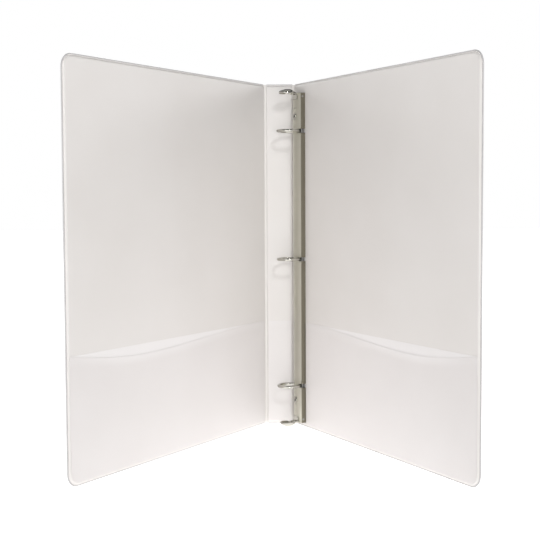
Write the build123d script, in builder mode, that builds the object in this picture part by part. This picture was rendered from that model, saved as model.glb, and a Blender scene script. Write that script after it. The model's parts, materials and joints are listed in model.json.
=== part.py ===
"""A view binder for US letter paper, standing open, with a three-ring mechanism on the back cover.

Millimetres, +Z up. The origin lies under the middle of the spine, on the surface that the binder
stands on. The covers open towards -Y; +Y is behind the spine.
"""
import os
from collections import namedtuple
from math import asin, cos, degrees, radians, sin, tan

from build123d import *

# ---- the case: sizes ---------------------------------------------------------------------------
HEIGHT = 292.1            # height of the covers and the spine
COVER_WIDTH = 260.0       # from a hinge's axis to the free edge of its cover
SPINE_WIDTH = 26.4        # between the two hinge axes
CORNER_RADIUS = 10.0      # outer corners of the covers
FRONT_SPLAY = 30.6        # how far the front cover stands open beyond square to the spine, degrees
BACK_SPLAY = 27.0         # the same for the back cover

BOARD_THICKNESS = 2.0     # stiff board inside each panel
SKIN = 0.35               # vinyl skin
BOARD_CLEARANCE = 0.3     # board to the skin around it
FLANGE_WIDTH = 1.8        # welded rim round the free edges
FLANGE_THICKNESS = 0.45   # of each skin where it is welded
HINGE_GAP = 3.8           # bare film between two neighbouring panels
HINGE_THICKNESS = 0.9
HINGE_INSET = 0.5         # the hinge film stops short of the panels' ends

OVERLAY_THICKNESS = 0.2   # clear film outside
OVERLAY_MARGIN = 1.2      # from the raised edge of the skin
OVERLAY_TOP_GAP = 6.0     # the film is open at the top, below the cover's edge
POCKET_THICKNESS = 0.25   # film of the inner pockets
POCKET_TOP = 89.5
POCKET_BOTTOM = 2.5

# ---- the ring mechanism: sizes -----------------------------------------------------------------
MECHANISM_LENGTH = 279.4
MECHANISM_DROP = 2.45     # its middle lies this far below the middle of the cover
MECHANISM_SETBACK = 13.4  # its middle line, from the hinge's axis
RING_PITCH = 107.95
RING_RADIUS = 8.9         # to the middle of the wire
RING_WIRE = 2.5           # diameter
RING_HEIGHT = 12.15       # ring's middle above the skin
RING_ARC_END = 40.0       # where the round part ends, degrees below level
RING_JOINT_GAP = 0.2      # between the tips of two closed halves
TONGUE_DIAMETER = 1.1
TONGUE_LENGTH = 1.0
TONGUE_CLEARANCE = 0.2    # round the tongue, and past its end
FOOT_DIAMETER = 1.7       # riveted stub through the plate
FOOT_HEAD_DIAMETER = 2.7
FOOT_HEAD_THICKNESS = 0.35
FOOT_CLEARANCE = 0.02

HOUSING_WIDTH = 15.0
HOUSING_RISE = 6.05       # crest above the skin
HOUSING_SHOULDER = 3.55   # top of the side walls above the skin
HOUSING_WALL = 0.8
HOUSING_LIP = 0.8         # curled lip under the plates, beyond the wall
HOUSING_LIP_THICKNESS = 0.6
SLOT_REACH = 4.1          # depth of a ring's slot from the side of the housing
SLOT_CLEARANCE = 0.4      # each side of the wire

PLATE_PIVOT_HEIGHT = 2.55  # above the skin
PLATE_THICKNESS = 0.8
PLATE_EDGE_CLEARANCE = 0.4  # plate's outer edge to the housing's wall
PLATE_MIDDLE_GAP = 0.2    # between the two plates
PLATE_TILT = 4.5          # each side of level, degrees; closed is tilted down
PLATE_END_GAP = 5.0       # full width stops this far from the lever's pin
TONGUE_WIDTH = 1.6        # narrowed end of each plate, in the lever's jaw
TONGUE_END_GAP = 2.2      # it stops this far from the pin

RIVET_BEYOND_RING = 12.5
RIVET_DIAMETER = 4.0
RIVET_BORE = 2.4
RIVET_FLANGE_DIAMETER = 6.2
RIVET_FLANGE_THICKNESS = 0.5
RIVET_SEAT_DEPTH = 0.45   # flat seat sunk in the crest
RIVET_CAP_DIAMETER = 9.0
RIVET_CAP_THICKNESS = 0.7
RIVET_CLEARANCE = 0.05
PLATE_RIVET_CLEARANCE = 0.7

LEVER_PIN_INSET = 3.0     # from the end of the housing
LEVER_PIN_DIAMETER = 1.6
LEVER_PIN_OVERHANG = 0.4  # riveted end outside the housing
LEVER_PIN_CLEARANCE = 0.05
LEVER_HUB_DIAMETER = 3.4
LEVER_NECK_WIDTH = 7.0
LEVER_NECK_CLEARANCE = 0.4
LEVER_NOTCH_DEPTH = 2.4   # notch in the crest, beyond the pin
LEVER_PADDLE_WIDTH = 13.0
LEVER_THICKNESS = 1.2
# a lever's bends and outline, as shares of its bulge (out) and of its tip's rise (up)
LEVER_KNEE_OUT = 0.75
LEVER_KNEE_UP = 0.27
LEVER_BULGE_UP = 0.55
LEVER_TIP_OUT = 0.86
PADDLE_MIDDLE_UP = 0.63
PADDLE_HALF_LENGTH = 0.40
NECK_MIDDLE_UP = 0.25
NECK_LENGTH = 0.70
LEVER_BULGE = 5.6         # paddle's middle, outwards from the pin
LEVER_TIP_RISE = 17.6     # paddle's tip above the pin
JAW_WIDTH = 2.8
JAW_REACH = 3.8           # from the pin
JAW_RADIUS = 3.0          # where the jaw takes the plates along
JAW_SLOT = 1.8
JAW_FINGER = 0.6

# ---- worked out from the sizes -----------------------------------------------------------------
HINGE_HALF = HINGE_GAP / 2
BOARD_FACE = BOARD_THICKNESS / 2
SKIN_FACE = BOARD_FACE + SKIN
OVERLAY_FACE = SKIN_FACE + OVERLAY_THICKNESS

MECHANISM_MIDDLE = HEIGHT / 2 - MECHANISM_DROP
RING_LEVELS = {
    "top": MECHANISM_MIDDLE + RING_PITCH,
    "middle": MECHANISM_MIDDLE,
    "bottom": MECHANISM_MIDDLE - RING_PITCH,
}
RIVET_LEVELS = {
    "top": RING_LEVELS["top"] + RIVET_BEYOND_RING,
    "bottom": RING_LEVELS["bottom"] - RIVET_BEYOND_RING,
}
LEVER_LEVELS = {
    "top": MECHANISM_MIDDLE + MECHANISM_LENGTH / 2 - LEVER_PIN_INSET,
    "bottom": MECHANISM_MIDDLE - MECHANISM_LENGTH / 2 + LEVER_PIN_INSET,
}
HOUSING_CREST = SKIN_FACE + HOUSING_RISE
PIVOT_HEIGHT = SKIN_FACE + PLATE_PIVOT_HEIGHT
PIVOT_OFFSET = HOUSING_WIDTH / 2 - HOUSING_WALL - PLATE_EDGE_CLEARANCE
PLATE_WIDTH = PIVOT_OFFSET - PLATE_MIDDLE_GAP / 2
RING_MIDDLE = SKIN_FACE + RING_HEIGHT
RIVET_HOLE = RIVET_DIAMETER + 2 * RIVET_CLEARANCE

Panel = namedtuple("Panel", "name plane left right free_left free_right")


def cover_plane(side, splay):
    """Middle plane of a cover: X along the cover, Y up, Z towards the inside of the binder."""
    along = (side * sin(radians(splay)), -cos(radians(splay)), 0)
    inward = (-side * cos(radians(splay)), -sin(radians(splay)), 0)
    x_dir = (side * along[0], side * along[1], 0)
    return Plane(origin=(side * SPINE_WIDTH / 2, 0, 0), x_dir=x_dir, z_dir=inward)


SPINE = Panel(
    "spine", Plane(origin=(0, 0, 0), x_dir=(1, 0, 0), z_dir=(0, -1, 0)),
    HINGE_HALF - SPINE_WIDTH / 2, SPINE_WIDTH / 2 - HINGE_HALF, False, False,
)
FRONT = Panel("front", cover_plane(-1, FRONT_SPLAY), -COVER_WIDTH, -HINGE_HALF, True, False)
BACK = Panel("back", cover_plane(1, BACK_SPLAY), HINGE_HALF, COVER_WIDTH, False, True)
PANELS = (SPINE, FRONT, BACK)

ALONG = BACK.plane.x_dir
INWARD = BACK.plane.z_dir
UP = Vector(0, 0, 1)


def on_back(s, height, level):
    """Point at s from the hinge, at a height above the cover's middle plane, at a level above the ground."""
    return BACK.plane.origin + ALONG * s + INWARD * height + UP * level


def outline(panel, rim, inset, bottom, top):
    """Outline of one layer of a panel. The rim is kept off free edges, the inset off every edge."""
    left = panel.left + inset + (rim if panel.free_left else 0)
    right = panel.right - inset - (rim if panel.free_right else 0)
    with Locations(((left + right) / 2, (bottom + top) / 2)):
        sheet = Rectangle(right - left, top - bottom)
    radius = CORNER_RADIUS - rim - inset
    if panel.free_left:
        fillet(sheet.vertices().group_by(Axis.X)[0], radius)
    if panel.free_right:
        fillet(sheet.vertices().group_by(Axis.X)[-1], radius)


def whole_outline(panel, rim, inset):
    outline(panel, rim, inset, rim + inset, HEIGHT - rim - inset)


def rivet_circles(diameter):
    """A circle at each rivet's place on the back cover."""
    for level in RIVET_LEVELS.values():
        with Locations((MECHANISM_SETBACK, level)):
            Circle(diameter / 2)


def save(part, name):
    part.label = name
    export_step(part, f"parts/{name}.step")


os.makedirs("parts", exist_ok=True)

# ---- panels: board, inner and outer skin -------------------------------------------------------
for panel in PANELS:
    with BuildPart() as board:
        with BuildSketch(panel.plane.offset(-BOARD_FACE)):
            whole_outline(panel, FLANGE_WIDTH, SKIN + BOARD_CLEARANCE)
        extrude(amount=BOARD_THICKNESS)
        if panel is BACK:
            with BuildSketch(panel.plane):
                rivet_circles(RIVET_HOLE)
            extrude(amount=SKIN_FACE, both=True, mode=Mode.SUBTRACT)
    save(board.part, f"{panel.name}_board")

    for face, direction in (("inner", 1), ("outer", -1)):
        with BuildPart() as skin:
            with BuildSketch(panel.plane):
                whole_outline(panel, 0, 0)
            extrude(amount=direction * FLANGE_THICKNESS)
            with BuildSketch(panel.plane):
                whole_outline(panel, FLANGE_WIDTH, 0)
            extrude(amount=direction * SKIN_FACE)
            with BuildSketch(panel.plane):
                whole_outline(panel, FLANGE_WIDTH, SKIN)
            extrude(amount=direction * BOARD_FACE, mode=Mode.SUBTRACT)
            if panel is BACK:
                with BuildSketch(panel.plane):
                    rivet_circles(RIVET_HOLE)
                extrude(amount=OVERLAY_FACE, both=True, mode=Mode.SUBTRACT)
        save(skin.part, f"{panel.name}_{face}_skin")

    with BuildPart() as overlay:
        with BuildSketch(panel.plane.offset(-SKIN_FACE)):
            outline(
                panel, FLANGE_WIDTH, OVERLAY_MARGIN,
                FLANGE_WIDTH + OVERLAY_MARGIN, HEIGHT - OVERLAY_TOP_GAP,
            )
        extrude(amount=-OVERLAY_THICKNESS)
        if panel is BACK:
            with BuildSketch(panel.plane):
                rivet_circles(RIVET_HOLE)
            extrude(amount=-2 * OVERLAY_FACE, mode=Mode.SUBTRACT)
    save(overlay.part, f"{panel.name}_overlay")

# ---- living hinges -----------------------------------------------------------------------------
for side, cover in ((-1, FRONT), (1, BACK)):
    with BuildPart() as hinge_strip:
        with BuildSketch(Plane.XY.offset(HINGE_INSET)):
            with BuildLine():
                splay = FRONT_SPLAY if cover is FRONT else BACK_SPLAY
                axis = Vector(side * SPINE_WIDTH / 2, 0)
                end = axis + Vector(side * sin(radians(splay)), -cos(radians(splay))) * HINGE_HALF
                Polyline(axis - Vector(side * HINGE_HALF, 0), axis, end)
            trace(line_width=HINGE_THICKNESS)
        extrude(amount=HEIGHT - 2 * HINGE_INSET)
    save(hinge_strip.part, f"{cover.name}_hinge_strip")

# ---- inner pockets -----------------------------------------------------------------------------
POCKET_PANELS = (
    SPINE,
    FRONT,
    BACK._replace(left=MECHANISM_SETBACK + HOUSING_WIDTH / 2),
)
for panel in POCKET_PANELS:
    with BuildPart() as pocket:
        with BuildSketch(panel.plane.offset(SKIN_FACE)):
            inset = POCKET_BOTTOM - FLANGE_WIDTH
            left = panel.left + inset + (FLANGE_WIDTH if panel.free_left else 0)
            right = panel.right - inset - (FLANGE_WIDTH if panel.free_right else 0)
            with Locations(((left + right) / 2, (POCKET_BOTTOM + POCKET_TOP) / 2)):
                film = Rectangle(right - left, POCKET_TOP - POCKET_BOTTOM)
            low_corners = film.vertices().group_by(Axis.Y)[0].sort_by(Axis.X)
            if panel.free_left:
                fillet(low_corners[0], CORNER_RADIUS - POCKET_BOTTOM)
            if panel.free_right:
                fillet(low_corners[-1], CORNER_RADIUS - POCKET_BOTTOM)
        extrude(amount=POCKET_THICKNESS)
    save(pocket.part, f"{panel.name}_pocket")


# ---- ring housing ------------------------------------------------------------------------------
def across(level):
    """Section plane of the mechanism: X along the cover from its middle line, Y inwards, facing down."""
    return Plane(origin=on_back(MECHANISM_SETBACK, 0, level), x_dir=ALONG, z_dir=-UP)


def housing_shape(half_width, shoulder, crest, floor):
    with BuildLine() as shape:
        Line((-half_width, floor), (-half_width, shoulder))
        ThreePointArc((-half_width, shoulder), (0, crest), (half_width, shoulder))
        Line((half_width, shoulder), (half_width, floor))
        Line((half_width, floor), (-half_width, floor))
    make_face(shape.edges())


HOUSING_TOP = MECHANISM_MIDDLE + MECHANISM_LENGTH / 2
HOUSING_SHOULDER_FACE = SKIN_FACE + HOUSING_SHOULDER
INNER_HALF = HOUSING_WIDTH / 2 - HOUSING_WALL

with BuildPart() as housing:
    with BuildSketch(across(HOUSING_TOP)):
        housing_shape(HOUSING_WIDTH / 2, HOUSING_SHOULDER_FACE, HOUSING_CREST, SKIN_FACE)
    extrude(amount=MECHANISM_LENGTH)
    with BuildSketch(across(HOUSING_TOP)):
        housing_shape(
            INNER_HALF, HOUSING_SHOULDER_FACE, HOUSING_CREST - HOUSING_WALL,
            SKIN_FACE + HOUSING_LIP_THICKNESS,
        )
        with Locations((0, SKIN_FACE + HOUSING_LIP_THICKNESS / 2)):
            Rectangle(2 * (INNER_HALF - HOUSING_LIP), HOUSING_LIP_THICKNESS)
    extrude(amount=MECHANISM_LENGTH, mode=Mode.SUBTRACT)
    # a slot from each side for each half ring
    with BuildSketch(BACK.plane.offset(SKIN_FACE)):
        for level in RING_LEVELS.values():
            for side in (-1, 1):
                slot_middle = side * (HOUSING_WIDTH / 2 - SLOT_REACH / 2)
                with Locations((MECHANISM_SETBACK + slot_middle, level)):
                    Rectangle(SLOT_REACH, RING_WIRE + 2 * SLOT_CLEARANCE)
    extrude(amount=HOUSING_RISE, mode=Mode.SUBTRACT)
    # a notch in each end for the lever's neck
    with BuildSketch(BACK.plane.offset(PIVOT_HEIGHT)):
        for end, level in LEVER_LEVELS.items():
            outwards = 1 if end == "top" else -1
            notch_middle = level + outwards * (LEVER_PIN_INSET - LEVER_NOTCH_DEPTH) / 2
            with Locations((MECHANISM_SETBACK, notch_middle)):
                Rectangle(
                    LEVER_NECK_WIDTH + 2 * LEVER_NECK_CLEARANCE,
                    LEVER_PIN_INSET + LEVER_NOTCH_DEPTH,
                )
    extrude(amount=HOUSING_RISE, mode=Mode.SUBTRACT)
    # bores for the lever pins
    with BuildSketch(Plane(origin=on_back(MECHANISM_SETBACK, 0, 0), x_dir=UP, z_dir=ALONG)):
        for level in LEVER_LEVELS.values():
            with Locations((level, PIVOT_HEIGHT)):
                Circle(LEVER_PIN_DIAMETER / 2 + LEVER_PIN_CLEARANCE)
    extrude(amount=HOUSING_WIDTH, both=True, mode=Mode.SUBTRACT)
    # flat seats and holes for the rivets
    with BuildSketch(BACK.plane.offset(HOUSING_CREST - RIVET_SEAT_DEPTH)):
        rivet_circles(RIVET_FLANGE_DIAMETER + 2 * RIVET_CLEARANCE)
    extrude(amount=HOUSING_WALL, mode=Mode.SUBTRACT)
    with BuildSketch(BACK.plane):
        rivet_circles(RIVET_HOLE)
    extrude(amount=2 * HOUSING_CREST, mode=Mode.SUBTRACT)
save(housing.part, "ring_housing")


# ---- hinge plates ------------------------------------------------------------------------------
def plate_plane(side):
    """Middle plane of a closed hinge plate: X from its pivot edge towards the other plate, Y up."""
    tilt = radians(PLATE_TILT)
    x_dir = ALONG * (-side * cos(tilt)) - INWARD * sin(tilt)
    z_dir = INWARD * cos(tilt) - ALONG * (side * sin(tilt))
    return Plane(
        origin=on_back(MECHANISM_SETBACK + side * PIVOT_OFFSET, PIVOT_HEIGHT, 0),
        x_dir=x_dir, z_dir=z_dir,
    )


def foot_reach():
    """Distance of a ring's foot from the pivot edge, along the plate."""
    end = radians(RING_ARC_END)
    start = Vector(-RING_RADIUS * cos(end), RING_MIDDLE - RING_RADIUS * sin(end))
    drop = start.Y - PIVOT_HEIGHT
    return start.X + drop * tan(end) + PIVOT_OFFSET


FOOT_REACH = foot_reach()

for side, name in ((-1, "spine_side_plate"), (1, "cover_side_plate")):
    plane = plate_plane(side)
    # local Y of the plate runs up on one side and down on the other
    up = 1 if plane.y_dir.Z > 0 else -1
    low = LEVER_LEVELS["bottom"]
    high = LEVER_LEVELS["top"]
    with BuildPart() as plate:
        with BuildSketch(plane.offset(-PLATE_THICKNESS / 2)):
            with Locations((PLATE_WIDTH / 2, up * (low + high) / 2)):
                Rectangle(PLATE_WIDTH, high - low - 2 * PLATE_END_GAP)
            with Locations((PLATE_WIDTH - TONGUE_WIDTH / 2, up * (low + high) / 2)):
                Rectangle(TONGUE_WIDTH, high - low - 2 * TONGUE_END_GAP)
            for level in RIVET_LEVELS.values():
                with Locations((PIVOT_OFFSET, up * level)):
                    Circle(RIVET_DIAMETER / 2 + PLATE_RIVET_CLEARANCE, mode=Mode.SUBTRACT)
            for level in RING_LEVELS.values():
                with Locations((FOOT_REACH, up * level)):
                    Circle(FOOT_DIAMETER / 2 + FOOT_CLEARANCE, mode=Mode.SUBTRACT)
        extrude(amount=PLATE_THICKNESS)
    save(plate.part, name)

# ---- ring halves -------------------------------------------------------------------------------
for place, level in RING_LEVELS.items():
    for side, side_name in ((-1, "spine_side"), (1, "cover_side")):
        section = across(level)
        plane = plate_plane(side)
        up = 1 if plane.y_dir.Z > 0 else -1
        end = radians(RING_ARC_END)
        tip_turn = RING_JOINT_GAP / 2 / RING_RADIUS
        tip = (side * RING_RADIUS * sin(tip_turn), RING_MIDDLE + RING_RADIUS * cos(tip_turn))
        arc_end = (side * RING_RADIUS * cos(end), RING_MIDDLE - RING_RADIUS * sin(end))
        leg = arc_end[1] - SKIN_FACE
        leg_end = (arc_end[0] - side * leg * tan(end), SKIN_FACE)
        with BuildPart() as ring_half:
            with BuildLine(section) as path:
                ThreePointArc(tip, (side * RING_RADIUS, RING_MIDDLE), arc_end)
                Line(arc_end, leg_end)
            with BuildSketch(Plane(origin=path.line @ 0, z_dir=path.line % 0)):
                Circle(RING_WIRE / 2)
            sweep()
            split(bisect_by=plane.offset(PLATE_THICKNESS / 2), keep=Keep.TOP)
            # riveted foot through the plate
            with BuildSketch(plane.offset(PLATE_THICKNESS / 2)):
                with Locations((FOOT_REACH, up * level)):
                    Circle(FOOT_DIAMETER / 2)
            extrude(amount=-PLATE_THICKNESS)
            with BuildSketch(plane.offset(-PLATE_THICKNESS / 2)):
                with Locations((FOOT_REACH, up * level)):
                    Circle(FOOT_HEAD_DIAMETER / 2)
            extrude(amount=-FOOT_HEAD_THICKNESS)
            # tongue on one tip, socket in the other
            tip_plane = Plane(
                origin=on_back(MECHANISM_SETBACK, RING_MIDDLE + RING_RADIUS, level),
                x_dir=UP, z_dir=ALONG,
            )
            if side < 0:
                with BuildSketch(tip_plane.offset(-RING_JOINT_GAP)):
                    Circle(TONGUE_DIAMETER / 2)
                extrude(amount=RING_JOINT_GAP + TONGUE_LENGTH)
            else:
                with BuildSketch(tip_plane):
                    Circle(TONGUE_DIAMETER / 2 + TONGUE_CLEARANCE)
                extrude(amount=TONGUE_LENGTH + TONGUE_CLEARANCE, mode=Mode.SUBTRACT)
        save(ring_half.part, f"ring_{place}_{side_name}")

# ---- levers and their pins ---------------------------------------------------------------------
# the jaw is tilted down with the closed plates, as far as their inner edges lie below the pivots
LEVER_TILT = degrees(asin(PLATE_WIDTH * sin(radians(PLATE_TILT)) / JAW_RADIUS))

for end, level in LEVER_LEVELS.items():
    outwards = 1 if end == "top" else -1
    pivot = on_back(MECHANISM_SETBACK, PIVOT_HEIGHT, level)
    side_view = Plane(origin=pivot, x_dir=UP * outwards, z_dir=ALONG * outwards)
    front_view = Plane(origin=pivot, x_dir=ALONG * outwards, z_dir=UP * -outwards)
    jaw_x = UP * outwards * cos(radians(LEVER_TILT)) + INWARD * sin(radians(LEVER_TILT))
    jaw_view = Plane(origin=pivot, x_dir=jaw_x, z_dir=ALONG * outwards)
    with BuildPart() as lever:
        # neck and paddle: a bent strip cut to a rounded outline
        with BuildSketch(side_view):
            with BuildLine():
                Spline(
                    (LEVER_THICKNESS / 2, 0),
                    (LEVER_KNEE_OUT * LEVER_BULGE, LEVER_KNEE_UP * LEVER_TIP_RISE),
                    (LEVER_BULGE, LEVER_BULGE_UP * LEVER_TIP_RISE),
                    (LEVER_TIP_OUT * LEVER_BULGE, LEVER_TIP_RISE),
                )
            trace(line_width=LEVER_THICKNESS)
        extrude(amount=LEVER_PADDLE_WIDTH / 2, both=True)
        with BuildSketch(front_view):
            with Locations((0, PADDLE_MIDDLE_UP * LEVER_TIP_RISE)):
                Ellipse(LEVER_PADDLE_WIDTH / 2, PADDLE_HALF_LENGTH * LEVER_TIP_RISE)
            with Locations((0, NECK_MIDDLE_UP * LEVER_TIP_RISE)):
                Rectangle(LEVER_NECK_WIDTH, NECK_LENGTH * LEVER_TIP_RISE)
        extrude(amount=2 * LEVER_BULGE, both=True, mode=Mode.INTERSECT)
        # hub and jaw
        with BuildSketch(side_view):
            Circle(LEVER_HUB_DIAMETER / 2)
        extrude(amount=LEVER_NECK_WIDTH / 2, both=True)
        with BuildSketch(jaw_view):
            with Locations((-JAW_REACH / 2, 0)):
                Rectangle(JAW_REACH, JAW_SLOT + 2 * JAW_FINGER)
            with Locations((-(LEVER_HUB_DIAMETER / 2 + JAW_REACH), 0)):
                Rectangle(2 * JAW_REACH, JAW_SLOT, mode=Mode.SUBTRACT)
        extrude(amount=JAW_WIDTH / 2, both=True)
        with BuildSketch(side_view):
            Circle(LEVER_PIN_DIAMETER / 2 + LEVER_PIN_CLEARANCE)
        extrude(amount=LEVER_NECK_WIDTH, both=True, mode=Mode.SUBTRACT)
    save(lever.part, f"{end}_lever")

    with BuildPart() as lever_pin:
        with BuildSketch(side_view):
            Circle(LEVER_PIN_DIAMETER / 2)
        extrude(amount=HOUSING_WIDTH / 2 + LEVER_PIN_OVERHANG, both=True)
    save(lever_pin.part, f"{end}_lever_pin")

# ---- rivets and their caps ---------------------------------------------------------------------
for end, level in RIVET_LEVELS.items():
    seat = HOUSING_CREST - RIVET_SEAT_DEPTH
    with BuildPart() as rivet:
        with BuildSketch(BACK.plane.offset(-OVERLAY_FACE)):
            with Locations((MECHANISM_SETBACK, level)):
                Circle(RIVET_DIAMETER / 2)
        extrude(amount=seat + OVERLAY_FACE)
        with BuildSketch(BACK.plane.offset(seat)):
            with Locations((MECHANISM_SETBACK, level)):
                Circle(RIVET_FLANGE_DIAMETER / 2)
        extrude(amount=RIVET_FLANGE_THICKNESS)
        with BuildSketch(BACK.plane):
            with Locations((MECHANISM_SETBACK, level)):
                Circle(RIVET_BORE / 2)
        extrude(amount=seat + RIVET_FLANGE_THICKNESS, mode=Mode.SUBTRACT)
    save(rivet.part, f"{end}_rivet")

    with BuildPart() as rivet_cap:
        with BuildSketch(BACK.plane.offset(-OVERLAY_FACE)):
            with Locations((MECHANISM_SETBACK, level)):
                Circle(RIVET_CAP_DIAMETER / 2)
        extrude(amount=-RIVET_CAP_THICKNESS)
        outer_rim = rivet_cap.edges().sort_by(Axis((0, 0, 0), INWARD))[0]
        fillet(outer_rim, RIVET_CAP_THICKNESS / 2)
    save(rivet_cap.part, f"{end}_rivet_cap")
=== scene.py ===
"""A white vinyl view binder standing open: welded covers, hinges, pockets and nickel-plated rings."""
import json
from math import cos, log, pi, radians, sin, sqrt

import bmesh
import bpy
from mathutils import Matrix, Vector


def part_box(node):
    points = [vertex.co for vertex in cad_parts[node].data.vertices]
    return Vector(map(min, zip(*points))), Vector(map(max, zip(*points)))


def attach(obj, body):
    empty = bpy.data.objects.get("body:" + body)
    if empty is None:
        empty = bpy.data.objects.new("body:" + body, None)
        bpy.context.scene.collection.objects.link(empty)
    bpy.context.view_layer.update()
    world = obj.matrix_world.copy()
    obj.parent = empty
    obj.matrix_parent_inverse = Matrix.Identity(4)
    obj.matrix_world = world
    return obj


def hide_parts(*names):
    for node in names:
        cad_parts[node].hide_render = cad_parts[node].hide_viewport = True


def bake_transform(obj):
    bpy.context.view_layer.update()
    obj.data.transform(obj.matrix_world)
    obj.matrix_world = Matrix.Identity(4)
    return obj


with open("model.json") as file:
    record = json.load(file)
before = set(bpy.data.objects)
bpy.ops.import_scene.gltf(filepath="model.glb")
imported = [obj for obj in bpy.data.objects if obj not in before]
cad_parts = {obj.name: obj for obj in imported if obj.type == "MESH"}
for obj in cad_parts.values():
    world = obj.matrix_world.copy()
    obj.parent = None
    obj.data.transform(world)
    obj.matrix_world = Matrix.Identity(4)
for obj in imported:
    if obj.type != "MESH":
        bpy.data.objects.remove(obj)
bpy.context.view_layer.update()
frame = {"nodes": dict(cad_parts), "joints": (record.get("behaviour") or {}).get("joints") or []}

MM = 0.001

# ---- places read from the frame ----------------------------------------------------------------
JOINTS = {joint["name"]: joint for joint in frame["joints"]}
FRONT_AXIS = Vector(JOINTS["front_cover_hinge"]["pos_m"])
BACK_AXIS = Vector(JOINTS["back_cover_hinge"]["pos_m"])
# a closed cover is square to the spine, so its lower limit says how far it stands open at rest
FRONT_SPLAY = radians(-JOINTS["front_cover_hinge"]["range_deg"][0])
BACK_SPLAY = radians(-JOINTS["back_cover_hinge"]["range_deg"][0])
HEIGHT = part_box("front_inner_skin")[1].z
SPINE_WIDTH = BACK_AXIS.x - FRONT_AXIS.x
HINGE_HALF = SPINE_WIDTH / 2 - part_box("spine_inner_skin")[1].x
SKIN_FACE = -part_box("spine_inner_skin")[0].y
FRONT_ALONG = Vector((-sin(FRONT_SPLAY), -cos(FRONT_SPLAY), 0))
COVER_WIDTH = max(
    (Vector(vertex.co) - FRONT_AXIS).dot(FRONT_ALONG)
    for vertex in frame["nodes"]["front_outer_skin"].data.vertices
)
POCKET_LOW, POCKET_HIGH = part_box("spine_pocket")[0].z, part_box("spine_pocket")[1].z
CORNER_RADIUS = 10 * MM        # outer corners of the covers


class Panel:
    """A flat panel: x along it, z up, and h from its middle plane towards the inside of the binder."""

    def __init__(self, name, origin, along, inward, low, high, low_free, high_free):
        self.name = name
        self.origin = Vector((origin.x, origin.y, 0))
        self.along = Vector(along)
        self.inward = Vector(inward)
        self.low, self.high = low, high
        self.low_free, self.high_free = low_free, high_free

    def at(self, x, z, h):
        return self.origin + self.along * x + self.inward * h + Vector((0, 0, z))


SPINE = Panel(
    "spine", Vector((0, 0, 0)), (1, 0, 0), (0, -1, 0),
    HINGE_HALF - SPINE_WIDTH / 2, SPINE_WIDTH / 2 - HINGE_HALF, False, False,
)
FRONT = Panel(
    "front_cover", FRONT_AXIS, FRONT_ALONG,
    (cos(FRONT_SPLAY), -sin(FRONT_SPLAY), 0), HINGE_HALF, COVER_WIDTH, False, True,
)
BACK = Panel(
    "back_cover", BACK_AXIS, (sin(BACK_SPLAY), -cos(BACK_SPLAY), 0),
    (-cos(BACK_SPLAY), -sin(BACK_SPLAY), 0), HINGE_HALF, COVER_WIDTH, False, True,
)

HOUSING_POINTS = [Vector(vertex.co) for vertex in frame["nodes"]["ring_housing"].data.vertices]
HOUSING_ALONG = [(point - BACK.origin).dot(BACK.along) for point in HOUSING_POINTS]
HOUSING_FAR = max(HOUSING_ALONG)
HOUSING_MIDDLE = (min(HOUSING_ALONG) + HOUSING_FAR) / 2
CREST = max((point - BACK.origin).dot(BACK.inward) for point in HOUSING_POINTS)
CAP_SEAT = max(
    (Vector(vertex.co) - BACK.origin).dot(BACK.inward)
    for vertex in frame["nodes"]["top_rivet_cap"].data.vertices
)
# the housing's far foot, measured from the frame's origin as its material is
FAR_FOOT = max(point.dot(BACK.along) for point in HOUSING_POINTS)


# ---- node materials ----------------------------------------------------------------------------
def new_material(name):
    """A material with nodes, and its node list, links and shader."""
    material = bpy.data.materials.new(name)
    material.use_nodes = True
    nodes, links = material.node_tree.nodes, material.node_tree.links
    return material, nodes, links, nodes["Principled BSDF"]


def noise(nodes, links, coordinates, scale, detail=3.0, stretch=None):
    """Noise of a scale in cycles per metre, which stretch multiplies axis by axis."""
    texture = nodes.new("ShaderNodeTexNoise")
    texture.inputs["Scale"].default_value = scale
    texture.inputs["Detail"].default_value = detail
    if stretch:
        mapping = nodes.new("ShaderNodeMapping")
        mapping.inputs["Scale"].default_value = stretch
        links.new(coordinates, mapping.inputs["Vector"])
        coordinates = mapping.outputs["Vector"]
    links.new(coordinates, texture.inputs["Vector"])
    return texture.outputs["Fac"]


def spread(nodes, links, value, low, high, start=0.3, end=0.7):
    """value, mapped from start..end to low..high."""
    ramp = nodes.new("ShaderNodeMapRange")
    ramp.inputs["From Min"].default_value = start
    ramp.inputs["From Max"].default_value = end
    ramp.inputs["To Min"].default_value = low
    ramp.inputs["To Max"].default_value = high
    links.new(value, ramp.inputs["Value"])
    return ramp.outputs["Result"]


def two_colours(nodes, links, value, first, second):
    """value, turned into a blend of two colours."""
    ramp = nodes.new("ShaderNodeValToRGB")
    ramp.color_ramp.elements[0].color = (*first, 1)
    ramp.color_ramp.elements[1].color = (*second, 1)
    ramp.color_ramp.elements[0].position = 0.3
    ramp.color_ramp.elements[1].position = 0.7
    links.new(value, ramp.inputs["Fac"])
    return ramp.outputs["Color"]


def bumps(nodes, links, shader, layers):
    """Stacks bump layers, each (height, distance in metres, strength)."""
    normal = None
    for height, distance, strength in layers:
        bump = nodes.new("ShaderNodeBump")
        bump.inputs["Distance"].default_value = distance
        bump.inputs["Strength"].default_value = strength
        links.new(height, bump.inputs["Height"])
        if normal:
            links.new(normal, bump.inputs["Normal"])
        normal = bump.outputs["Normal"]
    links.new(normal, shader.inputs["Normal"])


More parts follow.
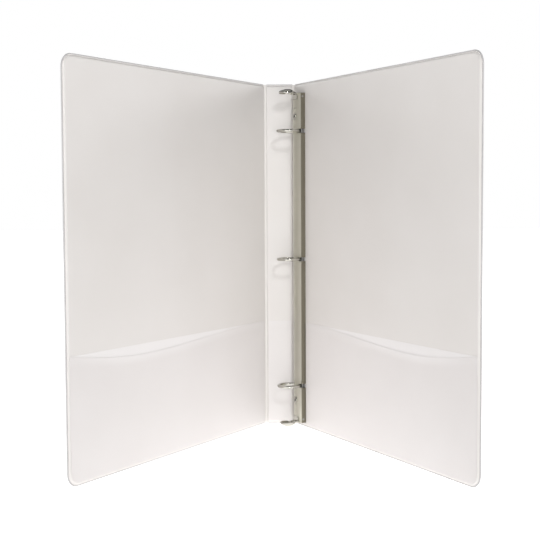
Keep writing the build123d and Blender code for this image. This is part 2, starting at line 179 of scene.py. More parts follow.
def vinyl_material(name, dark, light, roughness, swell, lip=None):
    """Calendered vinyl: fine embossed grain, slow ripples over the board and slightly uneven colour.

    lip is a lighter colour painted near the open edge of a pocket: a painted highlight that fades down
    from the lip.
    """
    material, nodes, links, shader = new_material(name)
    coordinates = nodes.new("ShaderNodeTexCoord").outputs["Object"]
    cloudy = noise(nodes, links, coordinates, 14, 2)
    colour = two_colours(nodes, links, cloudy, dark, light)
    # painted highlight: lightens the film towards a pocket's lip
    if lip:
        near = nodes.new("ShaderNodeAttribute")
        near.attribute_name = "lip"
        lip_highlight = nodes.new("ShaderNodeMix")
        lip_highlight.data_type = "RGBA"
        lip_highlight.inputs["B"].default_value = (*lip, 1)
        links.new(near.outputs["Fac"], lip_highlight.inputs["Factor"])
        links.new(colour, lip_highlight.inputs["A"])
        colour = lip_highlight.outputs["Result"]
    links.new(colour, shader.inputs["Base Color"])
    smudges = noise(nodes, links, coordinates, 38, 4)
    uneven = spread(nodes, links, smudges, roughness - 0.05, roughness + 0.07)
    links.new(uneven, shader.inputs["Roughness"])
    shader.inputs["IOR"].default_value = 1.5
    grain = nodes.new("ShaderNodeTexVoronoi")
    grain.inputs["Scale"].default_value = 1400
    links.new(coordinates, grain.inputs["Vector"])
    ripples = noise(nodes, links, coordinates, 11, 1.5, (1, 1, 0.45))
    peel = noise(nodes, links, coordinates, 210, 2)
    bumps(nodes, links, shader, [
        (ripples, swell, 0.6), (peel, 0.00012, 0.25), (grain.outputs["Distance"], 0.00004, 0.22),
    ])
    return material


def film_material(name):
    """Clear overlay: a glossy, slightly rippled film that lets the vinyl behind it show."""
    material, nodes, links, shader = new_material(name)
    coordinates = nodes.new("ShaderNodeTexCoord").outputs["Object"]
    haze = noise(nodes, links, coordinates, 9, 1)
    colour = two_colours(nodes, links, haze, (0.93, 0.935, 0.94), (0.96, 0.965, 0.97))
    links.new(colour, shader.inputs["Base Color"])
    links.new(spread(nodes, links, haze, 0.10, 0.14), shader.inputs["Roughness"])
    shader.inputs["Alpha"].default_value = 0.16
    shader.inputs["IOR"].default_value = 1.45
    ripples = noise(nodes, links, coordinates, 7, 1, (1, 1, 0.5))
    bumps(nodes, links, shader, [(ripples, 0.0015, 0.5)])
    return material


def nickel_material(name, dark, light, roughness, drawn, foot=None):
    """Nickel plate over rolled steel; drawn stretches its fine marks along the part.

    foot, as (direction, start, end), is a side painted darker towards its foot: painted shade where the
    wall meets the cover.
    """
    material, nodes, links, shader = new_material(name)
    coordinates = nodes.new("ShaderNodeTexCoord").outputs["Object"]
    shader.inputs["Metallic"].default_value = 1.0
    cloudy = noise(nodes, links, coordinates, 18, 1)
    plating = two_colours(nodes, links, cloudy, dark, light)
    if foot:
        along = nodes.new("ShaderNodeVectorMath")
        along.operation = "DOT_PRODUCT"
        along.inputs[1].default_value = foot[0]
        links.new(coordinates, along.inputs[0])
        # painted shade, multiplied into the plating towards the foot
        painted_foot_shade = nodes.new("ShaderNodeMix")
        painted_foot_shade.data_type = "RGBA"
        painted_foot_shade.blend_type = "MULTIPLY"
        painted_foot_shade.inputs["B"].default_value = (0.42, 0.40, 0.36, 1)
        nearness = spread(nodes, links, along.outputs["Value"], 0, 1, foot[1], foot[2])
        links.new(nearness, painted_foot_shade.inputs["Factor"])
        links.new(plating, painted_foot_shade.inputs["A"])
        plating = painted_foot_shade.outputs["Result"]
    links.new(plating, shader.inputs["Base Color"])
    marks = noise(nodes, links, coordinates, 1500, 2, drawn)
    uneven = spread(nodes, links, marks, roughness - 0.02, roughness + 0.03)
    links.new(uneven, shader.inputs["Roughness"])
    bumps(nodes, links, shader, [(marks, 0.000004, 0.1)])
    return material


def board_material(name):
    """Grey chipboard with pressed fibres."""
    material, nodes, links, shader = new_material(name)
    coordinates = nodes.new("ShaderNodeTexCoord").outputs["Object"]
    fibres = noise(nodes, links, coordinates, 700, 5, (1, 1, 0.3))
    colour = two_colours(nodes, links, fibres, (0.33, 0.30, 0.25), (0.45, 0.41, 0.34))
    links.new(colour, shader.inputs["Base Color"])
    links.new(spread(nodes, links, fibres, 0.82, 0.95), shader.inputs["Roughness"])
    bumps(nodes, links, shader, [(fibres, 0.0001, 0.5)])
    return material


FLOOR_GLOW = 0.86              # the floor gives some light of its own, so that it reads as white


def floor_material(name):
    """Matt white paper."""
    material, nodes, links, shader = new_material(name)
    coordinates = nodes.new("ShaderNodeTexCoord").outputs["Object"]
    shader.inputs["Emission Color"].default_value = (1.0, 0.995, 1.0, 1)
    shader.inputs["Emission Strength"].default_value = FLOOR_GLOW
    cloudy = noise(nodes, links, coordinates, 2.5, 2)
    colour = two_colours(nodes, links, cloudy, (0.93, 0.93, 0.925), (0.95, 0.95, 0.95))
    links.new(colour, shader.inputs["Base Color"])
    links.new(spread(nodes, links, cloudy, 0.85, 0.95), shader.inputs["Roughness"])
    return material


# painted shade: the housing's far side is painted darker between these depths inside its foot, where it
# meets the cover
FOOT_START, FOOT_END = 0.75 * MM, 0.35 * MM
VINYL = vinyl_material("vinyl", (0.745, 0.718, 0.695), (0.770, 0.745, 0.725), 0.42, 0.0012)
# the weld flange's grey is partly the thinner film's own tone and partly painted shade along the panels'
# edges
WELD_VINYL = vinyl_material("weld_vinyl", (0.50, 0.49, 0.49), (0.58, 0.57, 0.57), 0.30, 0.0002)
HINGE_VINYL = vinyl_material("hinge_vinyl", (0.80, 0.775, 0.75), (0.83, 0.805, 0.78), 0.34, 0.0003)
# the pocket's lip colour and its back ply's lighter vinyl are a painted highlight in the pocket's mouth
POCKET_VINYL = vinyl_material(
    "pocket_vinyl", (0.740, 0.712, 0.700), (0.765, 0.738, 0.728), 0.40, 0.0008, lip=(0.825, 0.805, 0.80),
)
POCKET_PLY = vinyl_material(
    "pocket_ply", (0.825, 0.805, 0.80), (0.84, 0.82, 0.815), 0.48, 0.0001,
)
CLEAR_FILM = film_material("clear_film")
HOUSING_NICKEL = nickel_material(
    "housing_nickel", (0.55, 0.54, 0.47), (0.585, 0.575, 0.50), 0.30, (1, 1, 0.25),
    foot=(BACK.along, FAR_FOOT - FOOT_START, FAR_FOOT - FOOT_END),
)
WIRE_NICKEL = nickel_material("wire_nickel", (0.53, 0.52, 0.475), (0.57, 0.56, 0.515), 0.12, (1, 1, 1))
LEVER_NICKEL = nickel_material("lever_nickel", (0.50, 0.49, 0.445), (0.54, 0.53, 0.485), 0.14, (1, 1, 1))
PLATE_STEEL = nickel_material("plate_steel", (0.36, 0.36, 0.35), (0.44, 0.44, 0.43), 0.38, (1, 1, 0.02))
BOARD = board_material("board")


# ---- mesh helpers ------------------------------------------------------------------------------
SMOOTH_ANGLE = radians(50)     # an edge that bends more stays sharp
WELD_DISTANCE = 1e-7           # metres


def add_mesh(name, points, faces, material):
    """A welded mesh with its faces turned outwards, smooth but for the edges that bend far."""
    mesh = bpy.data.meshes.new(name)
    mesh.from_pydata([tuple(point) for point in points], [], faces)
    piece = bpy.data.objects.new(name, mesh)
    bpy.context.scene.collection.objects.link(piece)
    made = bmesh.new()
    made.from_mesh(mesh)
    bmesh.ops.remove_doubles(made, verts=made.verts, dist=WELD_DISTANCE)
    bmesh.ops.recalc_face_normals(made, faces=made.faces)
    for edge in made.edges:
        edge.smooth = len(edge.link_faces) == 2 and edge.calc_face_angle(0) < SMOOTH_ANGLE
    for face in made.faces:
        face.smooth = True
    made.to_mesh(mesh)
    made.free()
    mesh.materials.append(material)
    return piece


def loft(loops, capped=True):
    """Faces between closed loops of equal length, given as a flat point list."""
    count = len(loops[0])
    points = [point for loop in loops for point in loop]
    faces = []
    for row in range(len(loops) - 1):
        for i in range(count):
            j = (i + 1) % count
            a, b = row * count, (row + 1) * count
            faces.append((a + i, a + j, b + j, b + i))
    if capped:
        faces.append(tuple(reversed(range(count))))
        faces.append(tuple(range((len(loops) - 1) * count, len(loops) * count)))
    return points, faces


def grid_sheet(rows, columns, front, back):
    """A closed sheet: front(u, v) and back(u, v) give its two faces for u and v from 0 to 1."""
    points, faces = [], []
    width = columns + 1
    for face in (front, back):
        for r in range(rows + 1):
            for c in range(width):
                points.append(face(c / columns, r / rows))
    layer = (rows + 1) * width
    for r in range(rows):
        for c in range(columns):
            a = r * width + c
            quad = (a, a + 1, a + width + 1, a + width)
            faces.append(quad)
            faces.append(tuple(layer + i for i in reversed(quad)))
    edge = list(range(width))
    edge += [r * width + columns for r in range(1, rows + 1)]
    edge += [rows * width + c for c in range(columns - 1, -1, -1)]
    edge += [r * width for r in range(rows - 1, 0, -1)]
    for i, a in enumerate(edge):
        b = edge[(i + 1) % len(edge)]
        faces.append((b, a, layer + a, layer + b))
    return points, faces


# ---- covers and spine: welded vinyl over board -------------------------------------------------
# Section of a panel's rim, in mm: inset from a free edge, inset from a hinge edge, height of the face.
# The free edge has a flat welded flange with a pressed weld line, then the vinyl climbs over the board.
RIM = (
    (0.00, 0.00, 0.00), (0.00, 0.00, 0.26), (0.08, 0.02, 0.38), (0.26, 0.04, 0.45), (0.74, 0.06, 0.46),
    (0.92, 0.08, 0.30), (1.18, 0.10, 0.30), (1.32, 0.12, 0.52), (1.60, 0.16, 0.74), (1.85, 0.24, 0.98),
    (2.15, 0.40, 1.18), (2.60, 0.72, 1.30), (3.40, 1.40, 1.35),
)
WELD_FLANGE = 0.8 * MM
CORNER_STEPS = 10
HINGE_CORNER_RADIUS = 0.45 * MM


def panel_loop(panel, free_inset, hinge_inset, height):
    """One loop round a panel, with rounded corners, at a height from its middle plane."""
    low = panel.low + (free_inset if panel.low_free else hinge_inset)
    high = panel.high - (free_inset if panel.high_free else hinge_inset)
    bottom, top = free_inset, HEIGHT - free_inset
    corners = (
        (high, top, panel.high_free, 0), (low, top, panel.low_free, 1),
        (low, bottom, panel.low_free, 2), (high, bottom, panel.high_free, 3),
    )
    loop = []
    for x, z, free, quarter in corners:
        radius = (CORNER_RADIUS - free_inset) if free else HINGE_CORNER_RADIUS
        middle_x = x - radius if quarter in (0, 3) else x + radius
        middle_z = z - radius if quarter in (0, 1) else z + radius
        for step in range(CORNER_STEPS + 1):
            turn = (quarter + step / CORNER_STEPS) * pi / 2
            loop.append(panel.at(middle_x + radius * cos(turn), middle_z + radius * sin(turn), height))
    return loop


def make_panel(panel, nodes):
    """A panel's vinyl envelope, closed over its board, with the rim's section on both sides."""
    inner = [(f * MM, g * MM, h * MM) for f, g, h in reversed(RIM)]
    outer = [(f * MM, g * MM, -h * MM) for f, g, h in RIM[1:]]
    loops = [panel_loop(panel, *row) for row in inner + outer]
    points, faces = loft(loops)
    piece = add_mesh(f"{panel.name}_vinyl", points, faces, VINYL)
    # the welded flange outside the bead is thinner, greyer film, and its grey is partly painted shade
    # along the edge
    piece.data.materials.append(WELD_VINYL)
    for face in piece.data.polygons:
        middle = face.center - panel.origin
        x, z = middle.dot(panel.along), middle.z
        sides = [z, HEIGHT - z]
        if panel.low_free:
            sides.append(x - panel.low)
        if panel.high_free:
            sides.append(panel.high - x)
            across = x - (panel.high - CORNER_RADIUS)
            up = abs(z - HEIGHT / 2) - (HEIGHT / 2 - CORNER_RADIUS)
            if across > 0 and up > 0:
                sides = [CORNER_RADIUS - sqrt(across ** 2 + up ** 2)]
        if min(sides) < WELD_FLANGE:
            face.material_index = 1
    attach(piece, panel.name)
    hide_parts(*nodes)
    return piece


make_panel(SPINE, ["spine_inner_skin", "spine_outer_skin"])
make_panel(FRONT, ["front_inner_skin", "front_outer_skin"])
make_panel(BACK, ["back_inner_skin", "back_outer_skin"])

# ---- living hinges -----------------------------------------------------------------------------
HINGE_TUCK = 0.9 * MM          # the film runs on inside both panels
HINGE_FILM = 0.42 * MM         # half of its thickness
HINGE_RIB = 0.16 * MM          # welded ribs beside each panel
HINGE_COLUMNS, HINGE_ROWS = 24, 40
RIB_WAVES, RIB_START = 2.2, 1.2  # how the two ribs lie over the film's width
NOTCH_DEPTH, NOTCH_HALF = 0.7 * MM, 0.30
NOTCH_REACH = 8 * MM           # the notch at each end evens out this far in
HINGE_END = 0.12 * MM


def make_hinge(name, cover, spine_side, nodes):
    """Bent film from the spine to a cover; u runs across it, v up it."""
    spine_edge = Vector((spine_side * (SPINE_WIDTH / 2 - HINGE_HALF), 0, 0))
    axis = Vector((spine_side * SPINE_WIDTH / 2, 0, 0))
    cover_edge = axis + cover.along * HINGE_HALF
    out = Vector((spine_side, 0, 0))

    def middle(u):
        """Centre line and its normal: straight inside both panels and a smooth bend between."""
        total = 2 * (HINGE_HALF + HINGE_TUCK)
        run = u * total
        if run < HINGE_TUCK:
            point, heading = spine_edge + out * (run - HINGE_TUCK), out
        elif run > total - HINGE_TUCK:
            point, heading = cover_edge + cover.along * (run - total + HINGE_TUCK), cover.along
        else:
            t = (run - HINGE_TUCK) / (2 * HINGE_HALF)
            point = spine_edge * (1 - t) ** 2 + axis * 2 * t * (1 - t) + cover_edge * t ** 2
            heading = (axis - spine_edge) * (1 - t) + (cover_edge - axis) * t
        heading = heading.normalized()
        return point, Vector((heading.y, -heading.x, 0)) * spine_side

    def surface(sign):
        def face(u, v):
            point, normal = middle(u)
            # two welded ribs, one beside each panel
            rib = HINGE_RIB * max(0.0, sin(2 * pi * abs(u - 0.5) * RIB_WAVES - RIB_START))
            edge = min(v, 1 - v) * HEIGHT
            notch = NOTCH_DEPTH * max(0.0, 1 - abs(u - 0.5) / NOTCH_HALF)
            inset = HINGE_END + notch * max(0.0, 1 - edge / NOTCH_REACH)
            z = v * HEIGHT + (inset if v < 0.5 else -inset)
            return point + normal * sign * (HINGE_FILM + rib) + Vector((0, 0, z))
        return face

    points, faces = grid_sheet(HINGE_ROWS, HINGE_COLUMNS, surface(1), surface(-1))
    piece = add_mesh(name, points, faces, HINGE_VINYL)
    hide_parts(*nodes)
    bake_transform(piece)
    return piece


make_hinge("front_hinge_film", FRONT, -1, ["front_hinge_strip"])
make_hinge("back_hinge_film", BACK, 1, ["back_hinge_strip"])

# ---- inner pockets -----------------------------------------------------------------------------
FILM = 0.14 * MM
PLY_DEPTH = 13 * MM            # how far down the back ply reaches behind the front one
PLY_FILM, PLY_SEAT = 0.06 * MM, 0.02 * MM
COVER_POCKET_INSET = 1.6 * MM  # from a cover's hinge edge
HOUSING_POCKET_GAP = 1.2 * MM  # from the ring housing
SPINE_POCKET_INSET = 1.4 * MM
PLY_CLEARANCE = 0.11 * MM      # the front ply lies over the back ply
POCKET_SAG = 7.6 * MM          # the front ply's lip dips this much at its lowest
POCKET_BULGE = 0.12 * MM       # and stands off the cover this much
LIP_PEAK = 0.66                # where it dips most, from the hinge side
LIP_SHARPNESS, BULGE_RISE = 1.05, 2.2
LIP_FADE = 6.5 * MM            # the film is painted lighter in the ply's colour this far down, a painted highlight
LIP_LEAST = 0.25               # and this much even where the lip doesn't dip
POCKET_GRID, PLY_GRID = (56, 72), (6, 48)


def make_pocket(name, panel, low, high, bulge, sag, nodes, peak=0.5):
    """Film welded along three sides; its upper lip is open and bows off the panel."""
    def shape(u, v):
        # a hump over the width that peaks where the lip gapes most
        skew = min(max(u, 0.0), 1.0) ** (log(0.5) / log(peak))
        hump = max(0.0, sin(pi * skew)) ** LIP_SHARPNESS
        x = low + (high - low) * u
        top = POCKET_HIGH - sag * hump
        z = POCKET_LOW + (top - POCKET_LOW) * v
        lift = bulge * hump * v ** BULGE_RISE
        return x, z, lift

    corner = CORNER_RADIUS - POCKET_LOW

    def surface(offset):
        def face(u, v):
            x, z, lift = shape(u, v)
            # the lower outer corner follows the cover's rounding
            if panel.high_free:
                into_x, into_z = x - (high - corner), (POCKET_LOW + corner) - z
                if into_x > 0 and into_z > 0:
                    reach = sqrt(max(corner ** 2 - into_x ** 2, 0))
                    z = max(z, POCKET_LOW + corner - reach)
            return panel.at(x, z, SKIN_FACE + PLY_CLEARANCE + lift + offset)
        return face

    points, faces = grid_sheet(*POCKET_GRID, surface(FILM), surface(0))
    piece = add_mesh(name, points, faces, POCKET_VINYL)
    # how near the lip each point is, for the painted highlight on the film
    fade = piece.data.attributes.new("lip", "FLOAT", "POINT")
    for vertex, value in zip(piece.data.vertices, fade.data):
        x = (vertex.co - panel.origin).dot(panel.along)
        lip = shape((x - low) / (high - low), 1.0)[1]
        dip = (POCKET_HIGH - lip) / POCKET_SAG
        # the painted highlight is strongest where the lip dips most
        clear = LIP_LEAST + (1 - LIP_LEAST) * dip
        value.value = clear * max(0.0, 1 - (lip - vertex.co.z) / LIP_FADE)
    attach(piece, panel.name)
    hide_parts(*nodes)
    return piece


FRONT_POCKET = (FRONT, HINGE_HALF + COVER_POCKET_INSET, COVER_WIDTH - POCKET_LOW)
BACK_POCKET = (BACK, HOUSING_FAR + HOUSING_POCKET_GAP, COVER_WIDTH - POCKET_LOW)
SPINE_POCKET = (SPINE, SPINE.low + SPINE_POCKET_INSET, SPINE.high - SPINE_POCKET_INSET)
make_pocket("front_pocket_film", *FRONT_POCKET, POCKET_BULGE, POCKET_SAG, ["front_pocket"], LIP_PEAK)
make_pocket("back_pocket_film", *BACK_POCKET, POCKET_BULGE, POCKET_SAG, ["back_pocket"], LIP_PEAK)
make_pocket("spine_pocket_film", *SPINE_POCKET, 0, 0, ["spine_pocket"])


def make_pocket_ply(name, panel, low, high):
    """The back ply of a pocket: a straight-topped strip that shows above the front ply's dipping lip; its
    lighter colour is a painted highlight.
    """
    def surface(offset):
        def face(u, v):
            z = POCKET_HIGH - PLY_DEPTH * (1 - v)
            return panel.at(low + (high - low) * u, z, SKIN_FACE + PLY_SEAT + offset)
        return face

    points, faces = grid_sheet(*PLY_GRID, surface(PLY_FILM), surface(0))
    piece = add_mesh(name, points, faces, POCKET_PLY)
    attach(piece, panel.name)
    return piece


make_pocket_ply("front_pocket_ply", *FRONT_POCKET)
make_pocket_ply("back_pocket_ply", *BACK_POCKET)

# ---- levers: dished paddles on a rolled hub ----------------------------------------------------
LEVER_WIDTH, LEVER_NECK = 13.0 * MM, 7.0 * MM
LEVER_OUT, LEVER_RISE = 5.6 * MM, 17.6 * MM
LEVER_SHEET = 1.0 * MM
LEVER_DISH = 2.7 * MM
LEVER_HUB = 1.7 * MM
TONGUE_REACH, TONGUE_START, TONGUE_SINK = 2.2 * MM, 2.0 * MM, 0.12 * MM
# rows across the tongue: place outwards from the pin, share of the neck's width
TONGUE_ROWS = ((TONGUE_START, 1.0), (-0.7 * TONGUE_REACH, 1.0), (-TONGUE_REACH, 0.9))
# corners of the tongue's faces: three rows of two on its upper side, then the same below
TONGUE_FACES = (
    (0, 1, 3, 2), (2, 3, 5, 4), (7, 6, 8, 9), (9, 8, 10, 11), (1, 0, 6, 7), (4, 5, 11, 10),
    (0, 2, 8, 6), (2, 4, 10, 8), (3, 1, 7, 9), (5, 3, 9, 11),
)
LEVER_BEVEL = 0.3 * MM
# centre line of a lever: share of its bulge outwards and of its rise away from the pin
LEVER_LINE = (
    (0.10, 0.00), (0.42, 0.10), (0.75, 0.27), (0.98, 0.45), (1.00, 0.62), (0.95, 0.82), (0.84, 1.00),
)
# the paddle on that line, as shares of its length: its middle, half of its oval and where the neck ends
PADDLE_MIDDLE, PADDLE_HALF, NECK_END = 0.66, 0.345, 0.62
# its bowl: half of its length and where it starts, then where the rim at the tip starts
BOWL_HALF, BOWL_START, TIP_RIM_START = 0.40, 0.26, 0.72
NECK_DISH, NECK_DISH_START = 0.45, 0.2   # share of the dish that the neck keeps
RIM_SHARPNESS, TIP_SHARPNESS = 2.4, 2.2
LEVER_GRID = (44, 20)
HUB_STEPS = 20
# the hub's section: share of its length and of its radius
HUB_PROFILE = ((0.0, 0.82), (0.05, 1.0), (0.95, 1.0), (1.0, 0.82))


def line_at(line, t):
    """A smooth point and heading on a line of (out, rise) shares, for t from 0 to 1."""
    spans = len(line) - 1
    i = min(int(t * spans), spans - 1)
    f = t * spans - i
    p = [Vector(line[min(max(i + k, 0), spans)]) for k in (-1, 0, 1, 2)]
    point = 0.5 * (2 * p[1] + (p[2] - p[0]) * f + (2 * p[0] - 5 * p[1] + 4 * p[2] - p[3]) * f ** 2
                   + (3 * p[1] - p[0] - 3 * p[2] + p[3]) * f ** 3)
    slope = 0.5 * ((p[2] - p[0]) + 2 * (2 * p[0] - 5 * p[1] + 4 * p[2] - p[3]) * f
                   + 3 * (3 * p[1] - p[0] - 3 * p[2] + p[3]) * f ** 2)
    return point, slope


def make_lever(end, outwards):
    """One lever: a dished sheet, the tongue at its foot and the hub that turns on its pin."""
    pin = Vector(JOINTS[f"{end}_lever_turn"]["pos_m"])
    up = Vector((0, 0, outwards))

    def surface(sign):
        def face(u, v):
            point, slope = line_at(LEVER_LINE, v)
            out, rise = point.x * LEVER_OUT, point.y * LEVER_RISE
            heading = Vector((slope.x * LEVER_OUT, slope.y * LEVER_RISE)).normalized()
            oval = (v - PADDLE_MIDDLE) / PADDLE_HALF
            paddle = LEVER_WIDTH / 2 * sqrt(max(1 - oval ** 2, 0))
            half = max(paddle, LEVER_NECK / 2 if v < NECK_END else 0)
            across = 2 * u - 1
            # the rim turns back towards the middle of the binder all round the paddle
            bowl = max(0.0, 1 - ((v - PADDLE_MIDDLE) / BOWL_HALF) ** 2) if v > BOWL_START else 0
            tip_rim = (max(v - TIP_RIM_START, 0.0) / (1 - TIP_RIM_START)) ** TIP_SHARPNESS
            rim = max(abs(across) ** RIM_SHARPNESS, tip_rim)
            dish = LEVER_DISH * ((1 - NECK_DISH) * bowl + NECK_DISH) * rim * min(v / NECK_DISH_START, 1)
            side = Vector((heading.y, -heading.x))
            shift = sign * LEVER_SHEET / 2 - dish
            place = Vector((out, rise)) + side * shift
            return pin + up * place.x + BACK.inward * place.y + BACK.along * across * half
        return face

    points, faces = grid_sheet(*LEVER_GRID, surface(1), surface(-1))
    # the tongue that fills the notch in the housing's crest
    tongue = len(points)
    level = CREST - TONGUE_SINK - (pin - BACK.origin).dot(BACK.inward)
    for n in (level, level - LEVER_SHEET):
        for out, wide in TONGUE_ROWS:
            for sign in (-1, 1):
                points.append(pin + up * out + BACK.inward * n + BACK.along * sign * wide * LEVER_NECK / 2)
    for face in TONGUE_FACES:
        faces.append(tuple(tongue + corner for corner in face))
    # the hub rolled round the pin
    loops = []
    for share, wide in HUB_PROFILE:
        middle = pin + BACK.along * (share - 0.5) * LEVER_NECK
        radius = LEVER_HUB * wide
        loops.append([
            middle + up * cos(turn) * radius + BACK.inward * sin(turn) * radius
            for turn in [2 * pi * step / HUB_STEPS for step in range(HUB_STEPS)]
        ])
    start = len(points)
    hub_points, hub_faces = loft(loops)
    points += hub_points
    faces += [tuple(start + i for i in face) for face in hub_faces]
    piece = add_mesh(f"{end}_lever_shell", points, faces, LEVER_NICKEL)
    bevel = piece.modifiers.new("rounded_edge", "BEVEL")
    bevel.width = LEVER_BEVEL
    bevel.segments = 3
    bevel.limit_method = "ANGLE"
    bevel.angle_limit = SMOOTH_ANGLE
    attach(piece, f"{end}_lever")
    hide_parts(f"{end}_lever")
    return piece


make_lever("top", 1)
make_lever("bottom", -1)


# ---- rolled rivet lips, pressed dimples and domed rivet caps -----------------------------------
LATHE_CORE = 0.3               # mm: a profile that ends closer to the axis than this is capped


def lathe(name, middle, axis, profile, material, body, replaced=(), stretch=1.0, steps=36):
    """Turns a closed profile of (radius, height) in mm about an axis; stretch lengthens it upright."""
    side = axis.cross(Vector((0, 0, 1))).normalized()
    upright = Vector((0, 0, 1))
    loops = []
    for radius, height in profile:
        loops.append([
            middle + axis * height * MM + (side * cos(2 * pi * i / steps)
                                           + upright * stretch * sin(2 * pi * i / steps)) * radius * MM
            for i in range(steps)
        ])
    closed = min(profile[0][0], profile[-1][0]) > LATHE_CORE
    if closed:
        loops.append(loops[0])
    points, faces = loft(loops, capped=not closed)
    piece = add_mesh(name, points, faces, material)
    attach(piece, body)
    if replaced:
        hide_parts(*replaced)
    return piece


def box_middle(name):
    low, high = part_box(name)
    return (Vector(low) + Vector(high)) / 2


LIP_STEPS = 14
LIP_PROFILE = tuple(
    (1.72 + 0.52 * cos(turn), 0.18 + 0.40 * sin(turn))
    for turn in [2 * pi * step / LIP_STEPS for step in range(LIP_STEPS)]
)
DIMPLE_PROFILE = ((1.5, -0.25), (1.5, 0.0), (1.34, 0.16), (1.05, 0.32), (0.65, 0.44), (0.25, 0.48))
CAP_PROFILE = (
    (4.5, 0.05), (4.5, 0.22), (4.38, 0.42), (4.0, 0.58), (3.2, 0.68), (1.6, 0.70), (0.25, 0.70),
)
DIMPLE_BEYOND_RIVET, DIMPLE_SINK, DIMPLE_STRETCH = 5.2 * MM, 0.02 * MM, 1.35
for end, outwards in (("top", 1), ("bottom", -1)):
    level = box_middle(f"{end}_rivet").z
    lathe(f"{end}_rivet_lip", BACK.at(HOUSING_MIDDLE, level, CREST), BACK.inward, LIP_PROFILE,
          LEVER_NICKEL, "back_cover")
    dimple = BACK.at(HOUSING_MIDDLE, level + outwards * DIMPLE_BEYOND_RIVET, CREST - DIMPLE_SINK)
    lathe(f"{end}_dimple", dimple, BACK.inward, DIMPLE_PROFILE, HOUSING_NICKEL,
          "back_cover", stretch=DIMPLE_STRETCH)
    lathe(f"{end}_cap_dome", BACK.at(HOUSING_MIDDLE, level, CAP_SEAT), -BACK.inward, CAP_PROFILE,
          LEVER_NICKEL, "back_cover", [f"{end}_rivet_cap"])

# ---- clear overlays outside --------------------------------------------------------------------
OVERLAY_MARGIN = 4.0 * MM
OVERLAY_TOP_GAP = 6.0 * MM
OVERLAY_SLACK = 0.5 * MM
OVERLAY_HINGE_MARGIN, OVERLAY_DIP = 1.6 * MM, 1.2 * MM
OVERLAY_SEAT, OVERLAY_FILM = 0.03 * MM, 0.15 * MM
OVERLAY_GRID = (24, 32)


def make_overlay(panel, nodes):
    """The clear film on a panel's outer side, open at the top."""
    low = panel.low + (OVERLAY_MARGIN if panel.low_free else OVERLAY_HINGE_MARGIN)
    high = panel.high - (OVERLAY_MARGIN if panel.high_free else OVERLAY_HINGE_MARGIN)
    bottom, top = OVERLAY_MARGIN, HEIGHT - OVERLAY_TOP_GAP

    def surface(offset):
        def face(u, v):
            x = low + (high - low) * u
            # an open top edge that bows a little off the cover and dips in its middle
            hump = sin(pi * u)
            z = bottom + (top - bottom - OVERLAY_DIP * hump) * v
            lift = OVERLAY_SLACK * hump * v ** 3
            return panel.at(x, z, -(SKIN_FACE + OVERLAY_SEAT + lift + offset))
        return face

    points, faces = grid_sheet(*OVERLAY_GRID, surface(OVERLAY_FILM), surface(0))
    piece = add_mesh(f"{panel.name}_overlay_film", points, faces, CLEAR_FILM)
    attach(piece, panel.name)
    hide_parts(*nodes)
    return piece


make_overlay(SPINE, ["spine_overlay"])
make_overlay(FRONT, ["front_overlay"])
make_overlay(BACK, ["back_overlay"])


# ---- finishes of the CAD pieces that stay ------------------------------------------------------
def finish_node(name, material):
    """Gives a CAD piece its only material."""
    node = frame["nodes"][name]
    node.data.materials.clear()
    node.data.materials.append(material)


for name in ("spine_board", "front_board", "back_board"):
    finish_node(name, BOARD)
for place in ("top", "middle", "bottom"):
    for side in ("spine_side", "cover_side"):
        finish_node(f"ring_{place}_{side}", WIRE_NICKEL)
finish_node("ring_housing", HOUSING_NICKEL)
for name in ("spine_side_plate", "cover_side_plate", "top_lever_pin", "bottom_lever_pin"):
    finish_node(name, PLATE_STEEL)
for end in ("top", "bottom"):
    finish_node(f"{end}_rivet", LEVER_NICKEL)

# ---- floor, light and camera -------------------------------------------------------------------
FLOOR_HALF = 6.0
points = [(x * FLOOR_HALF, y * FLOOR_HALF, 0) for x, y in ((-1, -1), (1, -1), (1, 1), (-1, 1))]
floor = add_mesh("floor", points, [(0, 1, 2, 3)], floor_material("floor"))

world = bpy.data.worlds.new("studio")
bpy.context.scene.world = world
world.use_nodes = True
nodes, links = world.node_tree.nodes, world.node_tree.links
# SKY is the room's grey by height, from the horizon to overhead, and WALLS a share of it from the
# front of the room, through its dim sides, to the back
SKY = ((0.26, 1.0), (0.42, 0.08), (0.72, 0.08), (0.86, 0.50))
WALLS = ((0.06, 1.0), (0.14, 0.5), (0.5, 0.5), (0.62, 1.0))
direction = nodes.new("ShaderNodeSeparateXYZ")
links.new(nodes.new("ShaderNodeTexCoord").outputs["Generated"], direction.inputs["Vector"])


def grey_ramp(value, stops):
    """A ramp of greys, each stop (position, grey)."""
    ramp = nodes.new("ShaderNodeValToRGB")
    first, *between, last = stops
    for element, (position, grey) in zip(ramp.color_ramp.elements, (first, last)):
        element.position = position
        element.color = (grey, grey, grey, 1)
    for position, grey in between:
        ramp.color_ramp.elements.new(position).color = (grey, grey, grey, 1)
    links.new(value, ramp.inputs["Fac"])
    return ramp.outputs["Color"]


forward = nodes.new("ShaderNodeMapRange")
forward.inputs["From Min"].default_value = -1.0
links.new(direction.outputs["Y"], forward.inputs["Value"])
shade = nodes.new("ShaderNodeMix")
shade.data_type = "RGBA"
shade.blend_type = "MULTIPLY"
shade.inputs["Factor"].default_value = 1.0
links.new(grey_ramp(direction.outputs["Z"], SKY), shade.inputs["A"])
links.new(grey_ramp(forward.outputs["Result"], WALLS), shade.inputs["B"])
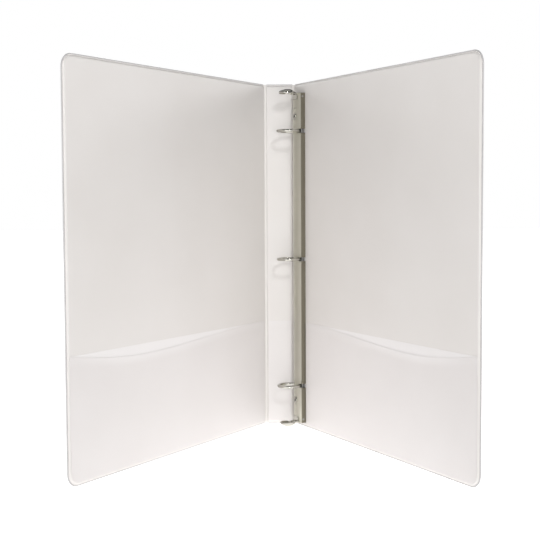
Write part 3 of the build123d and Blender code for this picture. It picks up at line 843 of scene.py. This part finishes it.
# the room behind the binder is plain white from every side, and its greys only light and reflect
backdrop = nodes.new("ShaderNodeMix")
backdrop.data_type = "RGBA"
backdrop.inputs["B"].default_value = (1.0, 1.0, 1.0, 1)
links.new(nodes.new("ShaderNodeLightPath").outputs["Is Camera Ray"], backdrop.inputs["Factor"])
links.new(shade.outputs["Result"], backdrop.inputs["A"])
links.new(backdrop.outputs["Result"], nodes["Background"].inputs["Color"])
nodes["Background"].inputs["Strength"].default_value = 1.0


def add_area(name, place, target, size, power):
    """A square lamp, placed in metres and aimed at target; its side in metres, its power in watts."""
    light = bpy.data.lights.new(name, "AREA")
    light.shape = "SQUARE"
    light.size = size
    light.energy = power
    lamp = bpy.data.objects.new(name, light)
    lamp.location = place
    lamp.rotation_mode = "QUATERNION"
    lamp.rotation_quaternion = (Vector(target) - Vector(place)).to_track_quat("-Z", "Y")
    bpy.context.scene.collection.objects.link(lamp)


BINDER_MIDDLE = (0, 0, 0.15)
add_area("key", (0.63, -2.70, 1.90), (0, -0.05, 0.15), 0.33, 19.5)
add_area("left_fill", (-0.95, -2.1, 0.95), BINDER_MIDDLE, 0.8, 3)
add_area("low_fill", (0.10, -2.6, 0.10), BINDER_MIDDLE, 0.5, 10)
add_area("back_left", (-1.7, 1.9, 1.3), BINDER_MIDDLE, 0.9, 12)
add_area("back_right", (2.0, 1.7, 0.9), BINDER_MIDDLE, 0.6, 9)

# the camera stands in front of the open side, a little above the middle, and looks slightly down
CAMERA_PLACE = (-8.16 * MM, -975.92 * MM, 194.86 * MM)
CAMERA_HEADING, CAMERA_DOWN, CAMERA_ROLL = radians(0.025), radians(3.607), radians(-0.268)
CAMERA_LENS, CAMERA_SENSOR = 75.51, 36
camera_data = bpy.data.cameras.new("camera")
camera_data.lens = CAMERA_LENS
camera_data.sensor_width = CAMERA_SENSOR
camera = bpy.data.objects.new("camera", camera_data)
camera.rotation_mode = "QUATERNION"
bpy.context.scene.collection.objects.link(camera)
camera.location = CAMERA_PLACE
heading = Matrix.Rotation(CAMERA_HEADING, 4, "Z")
tilt = Matrix.Rotation(pi / 2 - CAMERA_DOWN, 4, "X")
roll = Matrix.Rotation(CAMERA_ROLL, 4, "Z")
camera.rotation_quaternion = (heading @ tilt @ roll).to_quaternion()
bpy.context.scene.camera = camera

bpy.context.scene.view_settings.view_transform = "Standard"
bpy.context.scene.view_settings.look = "None"
